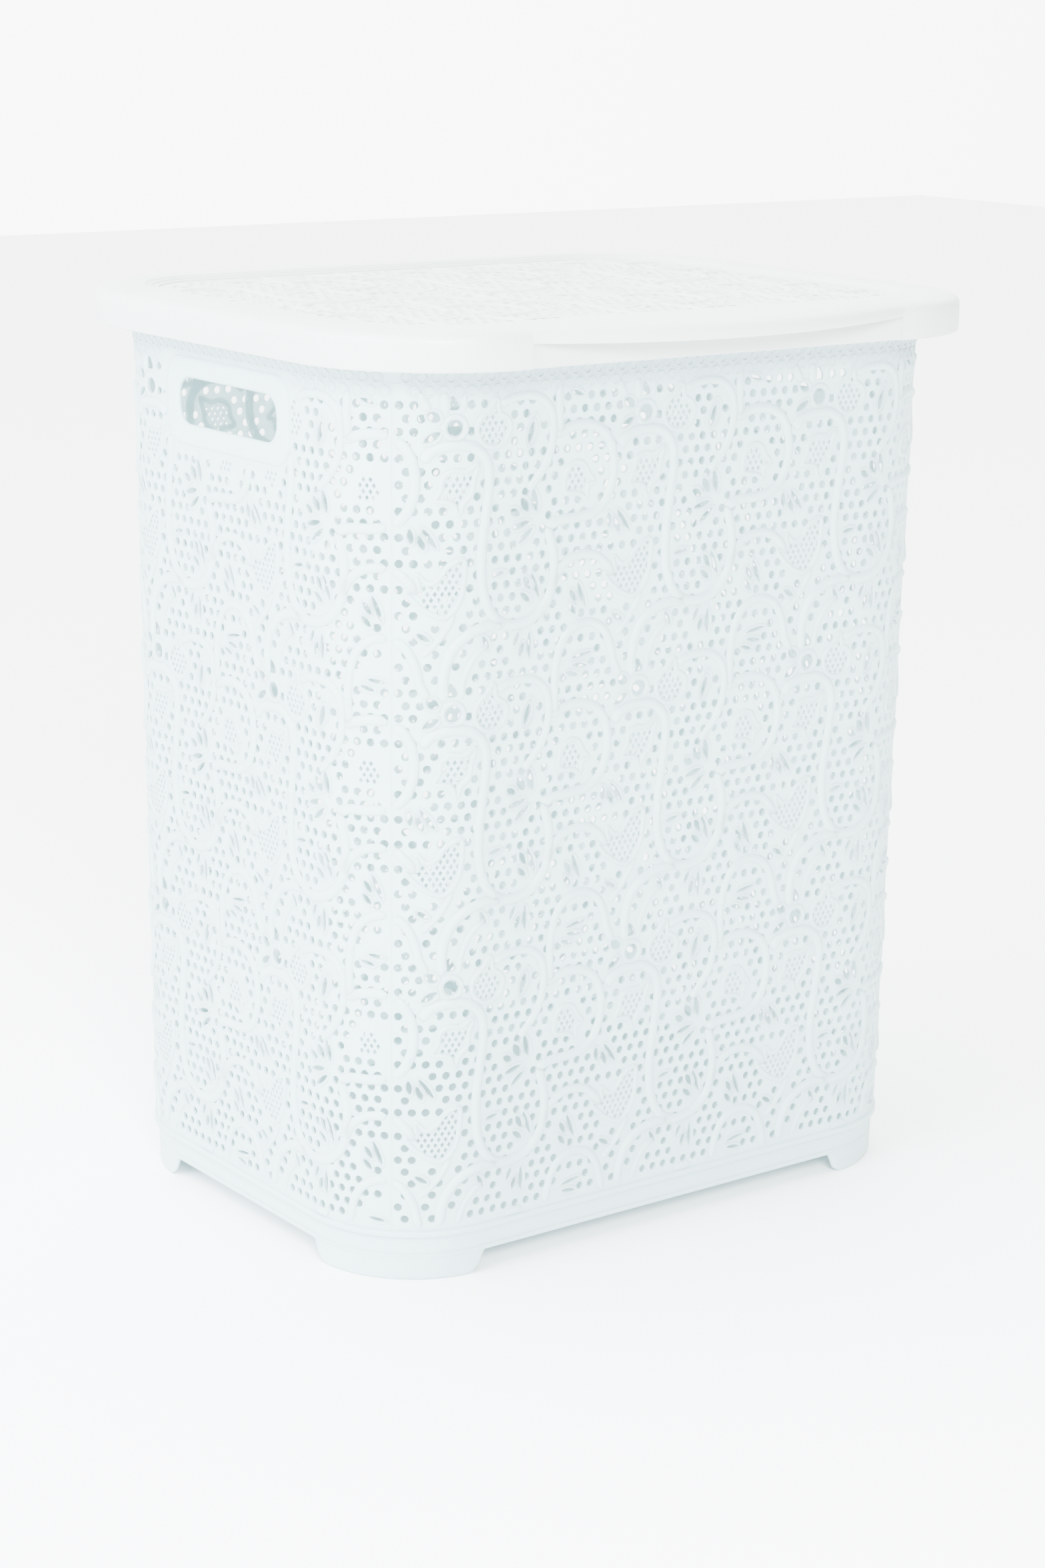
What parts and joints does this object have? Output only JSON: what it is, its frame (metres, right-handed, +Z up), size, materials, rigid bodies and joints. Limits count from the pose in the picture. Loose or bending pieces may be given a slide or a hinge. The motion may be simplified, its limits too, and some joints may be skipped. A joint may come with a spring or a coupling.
{
  "type": "laundry hamper with lid",
  "caption": "Tapered lace-pattern plastic laundry hamper with side handle slots, corner feet and an overhanging lid hinged at the back.",
  "frame": {"origin": "on the floor, under the middle of the closed hamper's box", "axes": "+Z up, front with the finger lip towards -Y, hinge at +Y, +X to the right seen from the front"},
  "size_m": [0.44, 0.377, 0.5293],
  "materials": {
    "tub_plastic": "cool white moulded plastic, soft satin gloss",
    "lid_plastic": "warm white moulded plastic, soft satin gloss"
  },
  "bodies": {
    "tub": {"wall_front": "tub_plastic", "wall_back": "tub_plastic", "wall_left": "tub_plastic", "wall_right": "tub_plastic", "handle_frame_left": "tub_plastic", "handle_frame_right": "tub_plastic", "rim_collar": "tub_plastic", "plinth_band": "tub_plastic", "base_floor": "tub_plastic", "foot_front_left": "tub_plastic", "foot_front_right": "tub_plastic", "foot_back_left": "tub_plastic", "foot_back_right": "tub_plastic", "hinge_bracket_left": "tub_plastic", "hinge_bracket_right": "tub_plastic", "hinge_pin_left": "tub_plastic", "hinge_pin_right": "tub_plastic"},
    "lid": {"lid_frame": "lid_plastic", "lid_panel": "lid_plastic", "finger_lip": "lid_plastic", "hinge_clip_left": "lid_plastic", "hinge_clip_right": "lid_plastic"}
  },
  "joints": [
    {"name": "lid_hinge", "type": "hinge", "parent": "tub", "child": "lid", "pos_m": [0, 0.1765, 0.5132], "axis": [-1, 0, 0], "range_deg": [0, 110]}
  ]
}
